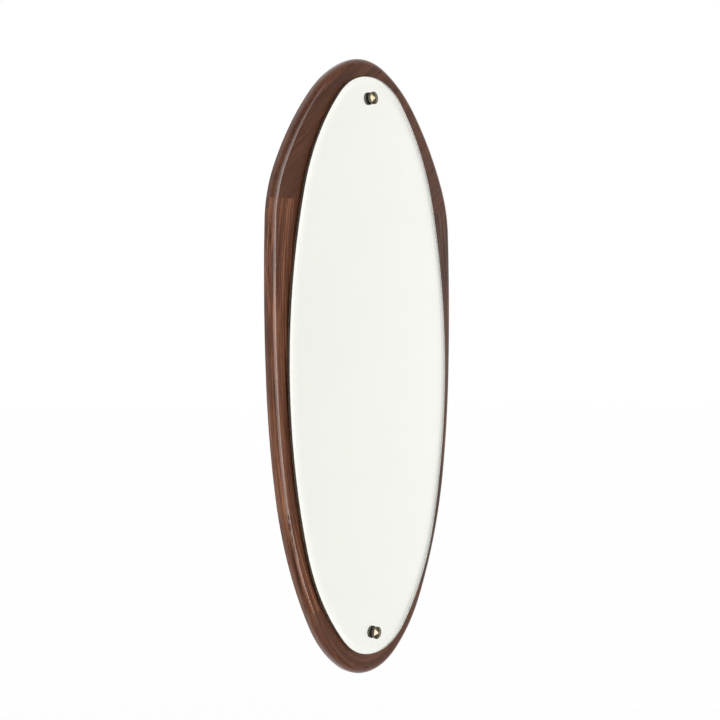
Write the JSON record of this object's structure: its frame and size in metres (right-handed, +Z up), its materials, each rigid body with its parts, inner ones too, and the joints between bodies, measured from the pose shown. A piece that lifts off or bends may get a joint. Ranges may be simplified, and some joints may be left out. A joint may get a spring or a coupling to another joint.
{
  "type": "oval wall mirror",
  "caption": "Tall oval wall mirror: bevelled glass standing proud of a shaped dark wood frame, held by turned brass caps, with keyhole plates behind.",
  "frame": {"origin": "on the wall plane, behind the middle of the glass", "axes": "+Z up; +Y into the wall, so the glass faces -Y; +X to the right of someone looking into the mirror"},
  "size_m": [0.4284, 0.0307, 0.9508],
  "materials": {
    "rosewood": "dark reddish-brown figured veneer-cut boards, satin lacquer",
    "beech": "unfinished turned dowel",
    "hardboard": "raw pressed board, matt",
    "zinc_steel": "zinc-plated, slightly dulled",
    "clear_glass": "polished float glass with bevel",
    "silvering": "silvered, painted grey behind",
    "felt": "dense felt",
    "brass": "turned brass, darkened with age",
    "nylon": "natural nylon",
    "rubber": "matt black",
    "vinyl": "clear soft vinyl"
  },
  "bodies": {
    "frame": {"top_arch": "rosewood", "left_side_rail": "rosewood", "right_side_rail": "rosewood", "foot_piece": "rosewood", "lap_dowels": "beech", "backing_board": "hardboard", "backing_board_screws": "zinc_steel", "left_hanger_plate": "zinc_steel", "right_hanger_plate": "zinc_steel", "hanger_screws": "zinc_steel", "mirror_glass": "clear_glass", "silvering": "silvering", "glass_cushions": "felt", "upper_mirror_screw": "brass", "upper_screw_sleeve": "nylon", "upper_glass_spacer": "rubber", "lower_mirror_screw": "brass", "lower_screw_sleeve": "nylon", "lower_glass_spacer": "rubber"},
    "upper_washer": {"upper_cap_washer": "vinyl"},
    "upper_cap": {"upper_screw_cap": "brass"},
    "lower_washer": {"lower_cap_washer": "vinyl"},
    "lower_cap": {"lower_screw_cap": "brass"}
  },
  "joints": [
    {"name": "upper_cap_travel", "type": "slide", "parent": "frame", "child": "upper_washer", "axis": [0, -1, 0], "range_m": [0, 0.0056]},
    {"name": "upper_cap_turn", "type": "hinge", "parent": "upper_washer", "child": "upper_cap", "pos_m": [0, -0.0251, 0.413], "axis": [0, -1, 0], "range_deg": [0, 2880]},
    {"name": "lower_cap_travel", "type": "slide", "parent": "frame", "child": "lower_washer", "axis": [0, -1, 0], "range_m": [0, 0.0056]},
    {"name": "lower_cap_turn", "type": "hinge", "parent": "lower_washer", "child": "lower_cap", "pos_m": [0, -0.0251, -0.413], "axis": [0, -1, 0], "range_deg": [0, 2880]}
  ],
  "couplings": [
    {"joint": "upper_cap_travel", "follows": "upper_cap_turn", "m_per_rad": 0.00011141},
    {"joint": "lower_cap_travel", "follows": "lower_cap_turn", "m_per_rad": 0.00011141}
  ]
}
